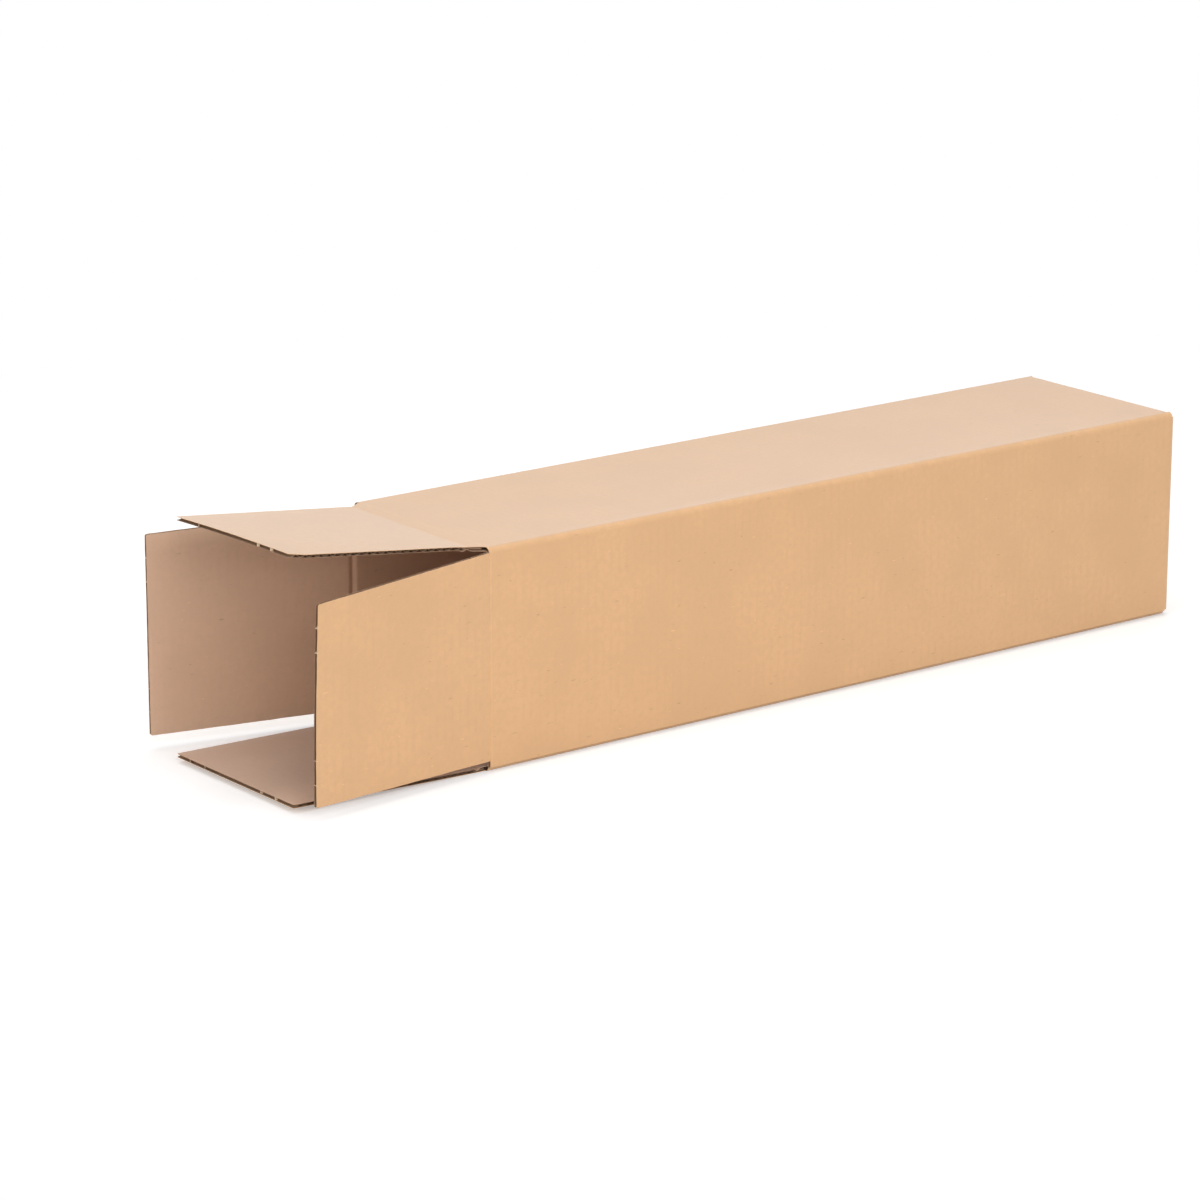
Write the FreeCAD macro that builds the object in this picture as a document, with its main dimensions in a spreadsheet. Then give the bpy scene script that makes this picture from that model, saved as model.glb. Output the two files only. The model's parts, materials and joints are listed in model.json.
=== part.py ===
import FreeCAD, Part
import math
import os
import re

import Sketcher

# A long square mailing tube of single-wall corrugated board, lying on its bottom panel.
# The tube is one folded sheet: four walls, a glue tab inside the front wall, and four end flaps
# folded and glued shut at the far end. Four more flaps stand open at the mouth, each on its crease.
#
# Frame: the origin is the middle of the bottom panel, +X runs along the tube to its closed end,
# +Y to its back wall and +Z up. The slots between the mouth's flaps end at x = -tube_length / 2.

SIZES = (
    # the tube
    ("tube_length", 610.0, "from the ends of the mouth's slots to the closed end's outer face"),
    ("tube_width", 150.0, "outside, from the front wall to the back wall"),
    ("tube_height", 150.0, "outside, from the bottom wall to the top wall"),
    ("board", 3.0, "thickness of the board"),
    ("fold_radius", 4.0, "outside radius of the folds along the tube"),
    # the board's inside
    ("liner", 0.45, "thickness of each facing sheet"),
    ("medium", 0.45, "thickness of the wavy sheet at its glued crests"),
    ("flute_pitch", 6.5, "from one flute to the next"),
    ("flute_land", 0.7, "width of the strip where a crest is glued to its liner"),
    ("crest_radius", 1.2, "inside radius of a crest of the wavy sheet"),
    # the glued seam along the bottom of the front wall
    ("seam_height", 3.4, "height of the front wall's raw lower edge"),
    ("seam_setback", 2.2, "how far the bottom panel's fold lies behind the front wall's face"),
    ("seam_radius", 3.0, "outside radius of the bottom panel's fold under the seam"),
    ("tab_height", 30.0, "height of the glue tab above the bottom panel"),
    ("tab_end_gap", 8.0, "from the mouth's slots to the glue tab"),
    ("tab_bevel", 15.0, "how far the glue tab's end leans back"),
    # the flaps at the mouth
    ("flap_reach", 148.0, "from the ends of the slots to the free edges"),
    ("front_trim", 4.0, "how much shorter the front flap is, which closes between the walls"),
    ("corner_radius", 2.5, "radius of the flaps' corners"),
    ("corner_run", 11.0, "length of a corner cut along its flap"),
    ("corner_cut", 4.0, "width of a corner cut across its flap"),
    ("slot_start", 5.0, "from each end of the top slots to the outside of the tube"),
    ("top_slot", 11.0, "from each end of the top crease to the outside of the tube"),
    ("top_taper", 3.5, "how much each side of the top flap leans in"),
    ("bottom_slot", 6.0, "from each end of the bottom crease to the outside of the tube"),
    ("bottom_taper", 2.0, "how much each side of the bottom flap leans in"),
    ("side_slot_upper", 4.0, "from the upper end of a side crease to the outside of the tube"),
    ("side_slot_lower", 8.0, "from the lower end of a side crease to the outside of the tube"),
    ("front_taper", 6.0, "how much the front flap's upper side leans in"),
    ("side_taper", 1.0, "how much the other sides of the front and back flaps lean in"),
    ("edge_slit", 3.5, "depth of the open slit between the liners at a free edge"),
    ("layer_gap", 0.2, "gap between two closed flaps that lie on each other"),
    ("crease_gap", 0.25, "from a crease's axis to the board on either side of it"),
    ("crease_land", 0.15, "thickness of the outer liner left square at a crease"),
    ("top_open", 6.7, "how far the top flap stands out from its wall, in degrees"),
    ("bottom_open", -1.5, "the same for the bottom flap, which leans inwards"),
    ("front_open", 5.4, "the same for the front flap"),
    ("back_open", 11.5, "the same for the back flap"),
    # the closed end
    ("end_gap", 6.0, "from an end flap's free edge to the outside of the tube"),
    ("end_slot", 4.0, "from each end of an end fold to the outside of the tube"),
    ("end_taper", 4.0, "how much each side of an end flap leans in"),
    ("end_fold_radius", 2.5, "outside radius of the fold of the outer end flap"),
    ("end_bulge", 2.0, "how far the inner end flaps' folds stand out of the walls' ends"),
    ("bulge_radius", 1.8, "outside radius of the inner end flaps' folds"),
)

OVERSHOOT = 1.0            # how far a cutting profile runs past the face that it cuts
ROUGH_RADIUS = 50.0        # size of the circle on which a profile's corners start
TOLERANCE = 0.01           # largest error when an edge is looked up by its place


doc = FreeCAD.newDocument("mailing_tube")
sheet = doc.addObject("Spreadsheet::Sheet", "sizes")
for row, (alias, value, meaning) in enumerate(SIZES, start=1):
    sheet.set(f"A{row}", meaning)
    sheet.set(f"B{row}", str(value))
    sheet.setAlias(f"B{row}", alias)
guesses = doc.addObject("Spreadsheet::Sheet", "guesses")
doc.recompute()

ALIASES = {alias for alias, _, _ in SIZES}

# Each crease at the mouth lies one board further out than the one before it, so that the closed
# flaps lie on each other: front, back, bottom, top.
CREASE_OUT = {
    "front": "0",
    "back": "(board + layer_gap)",
    "bottom": "2 * (board + layer_gap)",
    "top": "3 * (board + layer_gap)",
}
MOUTH = "(-tube_length / 2)"
HALF_WIDTH = "tube_width / 2"


def size(alias):
    """Reads one driving size."""
    return float(sheet.get(alias))


def bound(expression):
    """Writes an expression of sizes so that it points at the sheet's cells."""
    return re.sub(r"[a-z_]+", lambda word: "sizes." + word[0] if word[0] in ALIASES else word[0], expression)


def worked_out(expression):
    """Value of an expression of sizes, for a profile's first guess, on a sheet that nothing needs."""
    guesses.set("A1", "=" + bound(expression))
    guesses.recompute()
    return float(guesses.get("A1"))


# Profiles and features

def place_point(sketch, geometry, point, start, across, up):
    """Ties one point of a profile to the sizes by two expressions."""
    for kind, first_guess, expression in (("DistanceX", start.x, across), ("DistanceY", start.y, up)):
        number = sketch.addConstraint(Sketcher.Constraint(kind, -1, 1, geometry, point, first_guess))
        name = f"{kind}_{geometry}_{point}"
        sketch.renameConstraint(number, name)
        sketch.setExpression(f"Constraints.{name}", bound(expression))


def add_polygon(sketch, corners):
    """Draws a closed chain of straight edges, each corner placed by two expressions."""
    first = sketch.GeometryCount
    count = len(corners)
    turn = 2 * math.pi / count
    rough = [
        FreeCAD.Vector(ROUGH_RADIUS * math.cos(turn * index), ROUGH_RADIUS * math.sin(turn * index), 0)
        for index in range(count)
    ]
    for index in range(count):
        sketch.addGeometry(Part.LineSegment(rough[index], rough[(index + 1) % count]), False)
    for index in range(count):
        following = first + (index + 1) % count
        sketch.addConstraint(Sketcher.Constraint("Coincident", first + index, 2, following, 1))
    for index, (across, up) in enumerate(corners):
        place_point(sketch, first + index, 1, rough[index], across, up)


def add_channel(sketch, middle, floor, crest, way):
    """Draws the hollow beside one crest of the medium: two slopes that meet in a round.

    floor is the liner that closes the hollow, crest the round's far side, and way the sign of the
    step from the one to the other."""
    half = "(flute_pitch - flute_land) / 2"
    centre = f"{crest} - {way} * crest_radius"
    radius = size("crest_radius")
    at = FreeCAD.Vector(worked_out(middle), worked_out(centre), 0)
    low = worked_out(floor)
    reach = worked_out(half)
    rise = abs(at.y - low)
    touch = math.acos(radius / math.hypot(reach, rise)) - math.atan2(rise, reach)
    start = touch if way > 0 else math.pi + touch
    arc_end = start + math.pi - 2 * touch
    circle = Part.Circle(at, FreeCAD.Vector(0, 0, 1), radius)
    corners = [FreeCAD.Vector(at.x - way * reach, low, 0), FreeCAD.Vector(at.x + way * reach, low, 0)]
    ends = [at + FreeCAD.Vector(math.cos(angle), math.sin(angle), 0) * radius for angle in (start, arc_end)]

    base = sketch.addGeometry(Part.LineSegment(corners[0], corners[1]), False)
    rising = sketch.addGeometry(Part.LineSegment(corners[1], ends[0]), False)
    crown = sketch.addGeometry(Part.ArcOfCircle(circle, start, arc_end), False)
    falling = sketch.addGeometry(Part.LineSegment(ends[1], corners[0]), False)
    sketch.addConstraint(Sketcher.Constraint("Coincident", base, 2, rising, 1))
    sketch.addConstraint(Sketcher.Constraint("Tangent", rising, 2, crown, 1))
    sketch.addConstraint(Sketcher.Constraint("Tangent", crown, 2, falling, 1))
    sketch.addConstraint(Sketcher.Constraint("Coincident", falling, 2, base, 1))
    round_size = sketch.addConstraint(Sketcher.Constraint("Radius", crown, radius))
    sketch.renameConstraint(round_size, f"Radius_{crown}")
    sketch.setExpression(f"Constraints.Radius_{crown}", bound("crest_radius"))
    place_point(sketch, crown, 3, at, middle, centre)
    place_point(sketch, base, 1, corners[0], f"{middle} - {way} * {half}", floor)
    place_point(sketch, base, 2, corners[1], f"{middle} + {way} * {half}", floor)


def draw(body, plane, name, outlines=(), channels=(), offset="0", turn=0.0):
    """Makes a sketch on one of the body's own origin planes, moved along its normal and turned."""
    sketch = body.newObject("Sketcher::SketchObject", name)
    base = next(feature for feature in body.Origin.OriginFeatures if feature.Role == plane)
    sketch.AttachmentSupport = [(base, "")]
    sketch.MapMode = "FlatFace"
    turned = FreeCAD.Rotation(FreeCAD.Vector(0, 0, 1), turn)
    sketch.AttachmentOffset = FreeCAD.Placement(FreeCAD.Vector(0, 0, 0), turned)
    sketch.setExpression("AttachmentOffset.Base.z", bound(offset))
    for corners in outlines:
        add_polygon(sketch, corners)
    for channel in channels:
        add_channel(sketch, *channel)
    doc.recompute()
    return sketch


def pad(body, name, sketch, length, backwards=False, symmetric=False):
    feature = body.newObject("PartDesign::Pad", name)
    feature.Profile = sketch
    feature.setExpression("Length", bound(length))
    feature.Reversed = backwards
    if symmetric:
        feature.SideType = "Symmetric"
    doc.recompute()
    return feature


def pocket(body, name, sketch, length=None, forwards=False):
    """Cuts against the sketch's normal, or along it, or both ways through everything."""
    before = body.Shape.Volume
    feature = body.newObject("PartDesign::Pocket", name)
    feature.Profile = sketch
    if length is None:
        feature.Type = "ThroughAll"
        feature.SideType = "Symmetric"
    else:
        feature.setExpression("Length", bound(length))
        feature.Reversed = forwards
    doc.recompute()
    if not body.Shape.Volume < before:
        raise RuntimeError(f"{name} cuts nothing")
    return feature


def edges_at(shape, direction, places):
    """Names the straight edges along a direction whose middles lie at the given places.

    A coordinate of None in a place matches anything."""
    names = []
    for number, edge in enumerate(shape.Edges, start=1):
        if not isinstance(edge.Curve, Part.Line) or abs(edge.Curve.Direction.dot(direction)) < 1 - TOLERANCE:
            continue
        middle = edge.CenterOfMass
        for place in places:
            if all(want is None or abs(got - want) < TOLERANCE for got, want in zip(middle, place)):
                names.append(f"Edge{number}")
    return names


def fillet(body, name, base, edges, radius):
    feature = body.newObject("PartDesign::Fillet", name)
    feature.Base = (base, edges)
    feature.setExpression("Radius", bound(radius))
    doc.recompute()
    return feature


# The tube

def crease_cut(crease, outside, inwards):
    """Profile that ends a wall at its crease: square through the outer liner, then at 45 degrees.

    crease and outside are the axis's place along the tube and across the board; inwards is the
    sign of the way from the outer face to the inner one."""
    deep = f"(board + {OVERSHOOT})"
    return [
        (f"{crease} - 2 * board - {OVERSHOOT}", f"{outside} - {inwards} * {OVERSHOOT}"),
        (f"{crease} + crease_gap", f"{outside} - {inwards} * {OVERSHOOT}"),
        (f"{crease} + crease_gap", f"{outside} + {inwards} * crease_land"),
        (f"{crease} + crease_gap + {deep} - crease_land", f"{outside} + {inwards} * {deep}"),
        (f"{crease} - 2 * board - {OVERSHOOT}", f"{outside} + {inwards} * {deep}"),
    ]


def rectangle(low, high):
    return [(low[0], low[1]), (high[0], low[1]), (high[0], high[1]), (low[0], high[1])]


def end_flap(base, outward, reach, near, far, swapped):
    """Outline of an end flap from its fold: tapered, with its corners cut off.

    base is the fold's place, outward the sign of the way to the free edge, near and far the two
    ends of the fold; swapped turns the pairs over for a flap that runs across the tube."""
    corners = [
        (near, base),
        (f"{near} + end_taper", f"{base} + {outward} * ({reach} - corner_run)"),
        (f"{near} + end_taper + corner_cut", f"{base} + {outward} * {reach}"),
        (f"{far} - end_taper - corner_cut", f"{base} + {outward} * {reach}"),
        (f"{far} - end_taper", f"{base} + {outward} * ({reach} - corner_run)"),
        (far, base),
    ]
    return [(second, first) for first, second in corners] if swapped else corners


def flutes_beside(first, inner_face, inwards):
    """The two hollows of one flute: one behind a crest of the medium, one in the valley beside it.

    first is the crest's place along the board, inner_face the board's inner face, and inwards the
    sign of the way to it from the outer face."""
    outer_face = f"({inner_face} - {inwards} * board)"
    under_crest = (
        first,
        f"{inner_face} - {inwards} * liner",
        f"{outer_face} + {inwards} * (liner + medium)",
        -inwards,
    )
    in_valley = (
        f"({first} + flute_pitch / 2)",
        f"{outer_face} + {inwards} * liner",
        f"{inner_face} - {inwards} * (liner + medium)",
        inwards,
    )
    return [under_crest, in_valley]


def flute_row(body, name, first_flute, room):
    """Repeats one flute's hollows along the board for as long as there is room."""
    row = body.newObject("PartDesign::LinearPattern", name)
    row.Originals = [first_flute]
    row.Direction = (first_flute.Profile[0], ["H_Axis"])
    row.Mode = "Spacing"
    row.setExpression("Offset", bound("flute_pitch"))
    row.setExpression("Occurrences", bound(f"floor(({room}) / flute_pitch - 0.5)"))
    body.Tip = row
    doc.recompute()
    return row


def make_sleeve(body):
    """Four walls round the tube's inside, with a rounded fold at each corner.

    At the bottom of the front the wall ends in a raw edge, and the bottom panel's fold lies
    behind it."""
    low_corner = f"-{HALF_WIDTH} + seam_setback"
    section = [
        (f"-{HALF_WIDTH}", "seam_height"),
        (f"-{HALF_WIDTH}", "tube_height"),
        (HALF_WIDTH, "tube_height"),
        (HALF_WIDTH, "0"),
        (low_corner, "0"),
        (low_corner, "seam_height"),
    ]
    profile = draw(body, "YZ_Plane", "sleeve_section", [section], offset=MOUTH)
    sleeve = pad(body, "sleeve", profile, "tube_length - board")

    half = size("tube_width") / 2
    along = FreeCAD.Vector(1, 0, 0)
    folds = [(None, -half, size("tube_height")), (None, half, size("tube_height")), (None, half, 0)]
    rounded = fillet(body, "folds", sleeve, edges_at(sleeve.Shape, along, folds), "fold_radius")
    lap = [(None, -half + size("seam_setback"), 0)]
    fillet(body, "seam_fold", rounded, edges_at(rounded.Shape, along, lap), "seam_radius")

    inside = rectangle((f"-{HALF_WIDTH} + board", "board"), (f"{HALF_WIDTH} - board", "tube_height - board"))
    bore = draw(body, "YZ_Plane", "inside_section", [inside], offset=MOUTH)
    pocket(body, "inside", bore, "tube_length - 3 * board", forwards=True)


def make_glue_tab(body):
    """Strip of the bottom panel's board, glued up the inside of the front wall."""
    start = f"{MOUTH} + tab_end_gap"
    end = "tube_length / 2 - 3 * board"
    top = "board + tab_height"
    outline = [(start, "board / 2"), (f"{start} + tab_bevel", top), (end, top), (end, "board / 2")]
    profile = draw(body, "XZ_Plane", "glue_tab_outline", [outline], offset=f"{HALF_WIDTH} - board")
    pad(body, "glue_tab", profile, "board", backwards=True)


def make_mouth(body):
    """Walls' ends at the mouth, each carried to its own crease and mitred there."""
    crease = {side: f"{MOUTH} - {out}" for side, out in CREASE_OUT.items()}

    top = [
        (MOUTH, f"-{HALF_WIDTH} + slot_start"),
        (MOUTH, f"{HALF_WIDTH} - slot_start"),
        (crease["top"], f"{HALF_WIDTH} - top_slot"),
        (crease["top"], f"-{HALF_WIDTH} + top_slot"),
    ]
    pad(body, "top_lip", draw(body, "XY_Plane", "top_lip_plan", [top], offset="tube_height"), "board", backwards=True)

    bottom = rectangle((crease["bottom"], "0"), (MOUTH, "board"))
    bottom_side = draw(body, "XZ_Plane", "bottom_lip_side", [bottom])
    pad(body, "bottom_lip", bottom_side, "tube_width - 2 * bottom_slot", symmetric=True)

    side_height = "tube_height - side_slot_lower - side_slot_upper"
    back = rectangle((crease["back"], f"{HALF_WIDTH} - board"), (MOUTH, HALF_WIDTH))
    pad(body, "back_lip", draw(body, "XY_Plane", "back_lip_plan", [back], offset="side_slot_lower"), side_height)

    cuts = {
        "top": ("XZ_Plane", crease_cut(crease["top"], "tube_height", -1), HALF_WIDTH, "tube_width"),
        "bottom": ("XZ_Plane", crease_cut(crease["bottom"], "0", 1), HALF_WIDTH, "tube_width"),
        "front": (
            "XY_Plane",
            crease_cut(crease["front"], f"-{HALF_WIDTH}", 1),
            "tube_height - side_slot_upper + crease_gap",
            f"{side_height} + 2 * crease_gap",
        ),
        "back": (
            "XY_Plane",
            crease_cut(crease["back"], HALF_WIDTH, -1),
            "tube_height - side_slot_upper + crease_gap",
            f"{side_height} + 2 * crease_gap",
        ),
    }
    for side, (plane, corners, offset, depth) in cuts.items():
        pocket(body, f"{side}_crease", draw(body, plane, f"{side}_crease_side", [corners], offset=offset), depth)


def make_closed_end(body):
    """Four end flaps glued on each other: the top one innermost, the front one outside.

    The two layers between them fill the tube, so they are part of the sleeve's end."""
    inner_profile = end_flap(
        "tube_height - board / 2",
        -1,
        "(tube_height - end_gap)",
        f"-{HALF_WIDTH} + end_slot",
        f"{HALF_WIDTH} - end_slot",
        swapped=False,
    )
    inner = draw(body, "YZ_Plane", "inner_end_flap_outline", [inner_profile], offset="tube_length / 2 - 4 * board")
    pad(body, "inner_end_flap", inner, "board")

    outer_reach = "(tube_width - end_gap)"
    outer_profile = end_flap(f"-{HALF_WIDTH}", 1, outer_reach, "end_slot", "tube_height - end_slot", swapped=True)
    outer = draw(body, "YZ_Plane", "outer_end_flap_outline", [outer_profile], offset="tube_length / 2 - board")
    pad(body, "outer_end_flap", outer, "board")

    wall_end = "tube_length / 2 - board"
    bulge_end = f"{wall_end} + end_bulge"
    between = "tube_width - 2 * end_slot"
    top = rectangle((wall_end, "tube_height - board"), (bulge_end, "tube_height"))
    pad(body, "top_end_fold", draw(body, "XZ_Plane", "top_end_fold_side", [top]), between, symmetric=True)
    bottom = rectangle((wall_end, "0"), (bulge_end, "board"))
    pad(body, "bottom_end_fold", draw(body, "XZ_Plane", "bottom_end_fold_side", [bottom]), between, symmetric=True)
    back = rectangle((wall_end, f"{HALF_WIDTH} - board"), (bulge_end, HALF_WIDTH))
    back_plan = draw(body, "XY_Plane", "back_end_fold_plan", [back], offset="end_slot")
    last = pad(body, "back_end_fold", back_plan, "tube_height - 2 * end_slot")

    half = size("tube_width") / 2
    tip = size("tube_length") / 2 - size("board") + size("end_bulge")
    across = FreeCAD.Vector(0, 1, 0)
    up = FreeCAD.Vector(0, 0, 1)
    folds = edges_at(last.Shape, across, [(tip, None, size("tube_height")), (tip, None, 0)])
    folds += edges_at(last.Shape, up, [(tip, half, None)])
    bulges = fillet(body, "end_folds", last, folds, "bulge_radius")
    outer_fold = edges_at(bulges.Shape, up, [(size("tube_length") / 2, -half, None)])
    fillet(body, "outer_end_fold", bulges, outer_fold, "end_fold_radius")
    open_end_flutes(body, outer_reach)


def open_end_flutes(body, reach):
    """Opens the outer end flap's flutes along its two sides, and the slit along its free edge.

    The profiles are turned, so that their first axis runs from the fold to the free edge and
    their second one inwards."""
    flap_height = "tube_height - 2 * end_slot"
    outer_face = "(-tube_length / 2)"
    free_edge = f"(-{HALF_WIDTH} + {reach})"
    slit = rectangle(
        (f"{free_edge} - edge_slit", f"{outer_face} + liner"),
        (f"{free_edge} + {OVERSHOOT}", f"{outer_face} + board - liner"),
    )
    slit_plan = draw(body, "XY_Plane", "end_edge_slit_plan", [slit], offset="end_slot", turn=90)
    pocket(body, "end_edge_slit", slit_plan, flap_height, forwards=True)

    start = "3 * board"
    first = f"(-{HALF_WIDTH} + {start} + flute_pitch / 2)"
    hollows = flutes_beside(first, f"({outer_face} + board)", 1)
    flute_plan = draw(body, "XY_Plane", "end_flute_plan", channels=hollows, offset="end_slot", turn=90)
    flute = pocket(body, "end_flute", flute_plan, flap_height, forwards=True)
    flute_row(body, "end_flutes", flute, f"{reach} - edge_slit - medium - {start}")


def make_tube():
    body = doc.addObject("PartDesign::Body", "tube")
    make_sleeve(body)
    make_glue_tab(body)
    make_mouth(body)
    make_closed_end(body)
    return body


# The flaps at the mouth

def make_flap(side, across, slots, tapers, placement, trim="0", cut_corner=False):
    """One flap, drawn in its own frame and then turned to its wall.

    There the crease's axis is the Y axis, X runs to the free edge, and the outer face is z = 0.
    across is the width of its wall. slots are the insets at the crease, and tapers what the sides
    lean in by, first at y = 0 and then at the other end. A cut corner is at the other end."""
    body = doc.addObject("PartDesign::Body", f"{side}_flap")
    length = f"(flap_reach - {trim} - {CREASE_OUT[side]})"
    low, high = (f"({slot} + {taper})" for slot, taper in zip(slots, tapers))
    outline = [("crease_gap", slots[0]), (length, low)]
    if cut_corner:
        outline.append((length, f"{across} - {high} - corner_cut"))
        outline.append((f"{length} - corner_run", f"{across} - {high}"))
    else:
        outline.append((length, f"{across} - {high}"))
    outline.append(("crease_gap", f"{across} - {slots[1]}"))
    board = pad(body, f"{side}_board", draw(body, "XY_Plane", f"{side}_outline", [outline]), "board", backwards=True)

    tips = edges_at(board.Shape, FreeCAD.Vector(0, 0, 1), [(worked_out(length), None, None)])
    fillet(body, f"{side}_corners", board, tips, "corner_radius")

    mitre = [
        (f"-{OVERSHOOT}", "-crease_land"),
        ("crease_gap", "-crease_land"),
        (f"crease_gap + board + {OVERSHOOT} - crease_land", f"-board - {OVERSHOOT}"),
        (f"-{OVERSHOOT}", f"-board - {OVERSHOOT}"),
    ]
    pocket(body, f"{side}_mitre", draw(body, "XZ_Plane", f"{side}_mitre_side", [mitre]))

    slit = rectangle(
        (f"{length} - edge_slit", "-board + liner"),
        (f"{length} + {OVERSHOOT}", "-liner"),
    )
    pocket(body, f"{side}_edge_slit", draw(body, "XZ_Plane", f"{side}_slit_side", [slit]))

    start = "crease_gap + board"
    hollows = flutes_beside(f"({start} + flute_pitch / 2)", "(-board)", -1)
    flute = pocket(body, f"{side}_flute", draw(body, "XZ_Plane", f"{side}_flute_side", channels=hollows))
    flute_row(body, f"{side}_flutes", flute, f"{length} - edge_slit - medium - {start}")
    body.setExpression("Placement", bound(placement))
    doc.recompute()
    return body


def make_flaps():
    """The four flaps, each turned about its crease from in line with its wall to how far it stands open.

    Each placement puts the flap's own X along the tube, away from the mouth, and its outer face
    outwards, and then swings it about its own Y axis."""
    x_axis, y_axis, z_axis = ("vector(1; 0; 0)", "vector(0; 1; 0)", "vector(0; 0; 1)")
    crease = {side: f"{MOUTH} - {out}" for side, out in CREASE_OUT.items()}

    def swing(side):
        return f"rotation({y_axis}; -{side}_open * 1 deg)"

    top = make_flap(
        "top",
        "tube_width",
        ("top_slot", "top_slot"),
        ("top_taper", "top_taper"),
        f"placement(vector({crease['top']}; {HALF_WIDTH}; tube_height); "
        f"rotation({z_axis}; 180 deg) * {swing('top')})",
        cut_corner=True,
    )
    bottom = make_flap(
        "bottom",
        "tube_width",
        ("bottom_slot", "bottom_slot"),
        ("bottom_taper", "bottom_taper"),
        f"placement(vector({crease['bottom']}; -{HALF_WIDTH}; 0); "
        f"rotation({y_axis}; 180 deg) * {swing('bottom')})",
    )
    front = make_flap(
        "front",
        "tube_height",
        ("side_slot_upper", "side_slot_lower"),
        ("front_taper", "side_taper"),
        f"placement(vector({crease['front']}; -{HALF_WIDTH}; tube_height); "
        f"rotation({y_axis}; 180 deg) * rotation({x_axis}; 90 deg) * {swing('front')})",
        trim="front_trim",
    )
    back = make_flap(
        "back",
        "tube_height",
        ("side_slot_lower", "side_slot_upper"),
        ("side_taper", "side_taper"),
        f"placement(vector({crease['back']}; {HALF_WIDTH}; 0); "
        f"rotation({z_axis}; 180 deg) * rotation({x_axis}; 90 deg) * {swing('back')})",
    )
    return [top, bottom, front, back]


# Building and writing

parts = [make_tube()] + make_flaps()
doc.removeObject(guesses.Name)
doc.recompute()

for thing in doc.Objects:
    if "Invalid" in thing.State or "Error" in thing.State:
        raise RuntimeError(f"{thing.Name} failed: {thing.State}")
for part in parts:
    if part.Shape.isNull() or not part.Shape.isValid() or len(part.Shape.Solids) != 1:
        raise RuntimeError(f"{part.Label} is not one sound solid")

os.makedirs("parts", exist_ok=True)
for part in parts:
    part.Shape.exportStep(f"parts/{part.Label}.step")
    box = part.Shape.BoundBox
    print(
        f"{part.Label}: {part.Shape.Volume / 1000:.1f} cm3, {len(part.Shape.Faces)} faces, "
        f"x {box.XMin:.2f} to {box.XMax:.2f}, y {box.YMin:.2f} to {box.YMax:.2f}, z {box.ZMin:.2f} to {box.ZMax:.2f}"
    )
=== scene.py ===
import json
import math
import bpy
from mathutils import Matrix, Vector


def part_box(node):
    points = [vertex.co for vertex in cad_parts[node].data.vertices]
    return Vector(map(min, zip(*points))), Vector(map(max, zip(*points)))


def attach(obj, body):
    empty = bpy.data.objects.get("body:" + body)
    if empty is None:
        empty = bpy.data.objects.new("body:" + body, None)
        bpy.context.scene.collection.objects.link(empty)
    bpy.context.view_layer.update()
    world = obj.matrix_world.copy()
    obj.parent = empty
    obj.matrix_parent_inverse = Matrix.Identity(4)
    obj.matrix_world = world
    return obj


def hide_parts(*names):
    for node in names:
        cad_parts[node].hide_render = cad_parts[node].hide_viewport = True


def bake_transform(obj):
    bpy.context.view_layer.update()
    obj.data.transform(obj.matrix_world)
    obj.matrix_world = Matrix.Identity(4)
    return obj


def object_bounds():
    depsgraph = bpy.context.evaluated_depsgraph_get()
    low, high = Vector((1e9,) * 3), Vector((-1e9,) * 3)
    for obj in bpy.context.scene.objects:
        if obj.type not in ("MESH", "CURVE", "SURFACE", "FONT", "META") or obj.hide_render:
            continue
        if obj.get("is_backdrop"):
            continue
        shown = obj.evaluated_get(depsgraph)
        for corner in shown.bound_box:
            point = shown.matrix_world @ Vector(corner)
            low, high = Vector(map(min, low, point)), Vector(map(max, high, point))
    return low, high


bl_info = {
    "name": "Corrugated Mailing Tube",
    "version": (1, 0, 0),
    "blender": (4, 5, 0),
    "location": "View3D > Sidebar > Mailing Tube",
    "description": "Builds the folded board, flaps, creases and studio of a square mailing tube",
    "category": "Object",
}

import bmesh
import bpy
from bpy.props import FloatProperty, FloatVectorProperty, PointerProperty
from mathutils import Matrix, Vector, noise

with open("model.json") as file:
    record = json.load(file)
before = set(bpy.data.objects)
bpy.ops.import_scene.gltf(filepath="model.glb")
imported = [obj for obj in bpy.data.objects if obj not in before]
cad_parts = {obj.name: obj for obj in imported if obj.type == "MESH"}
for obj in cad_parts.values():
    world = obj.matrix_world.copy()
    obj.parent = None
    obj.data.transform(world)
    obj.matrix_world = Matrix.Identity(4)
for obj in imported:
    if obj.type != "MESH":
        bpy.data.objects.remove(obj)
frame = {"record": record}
CAD_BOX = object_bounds()

MM = 0.001
JOINTS = {joint["name"]: joint for joint in frame["record"]["behaviour"]["joints"]}
TUBE_LOW, TUBE_HIGH = (Vector(corner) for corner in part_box("tube"))

# The front crease lies at the ends of the mouth's slots, and the tube's outside is its own box.
MOUTH_X = JOINTS["front_flap_fold"]["pos_m"][0]
END_X = TUBE_HIGH.x
HALF_WIDTH = TUBE_HIGH.y
HEIGHT = TUBE_HIGH.z
CLOSED_DEGREES = 90


# Sizes and colours that a user would change

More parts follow.
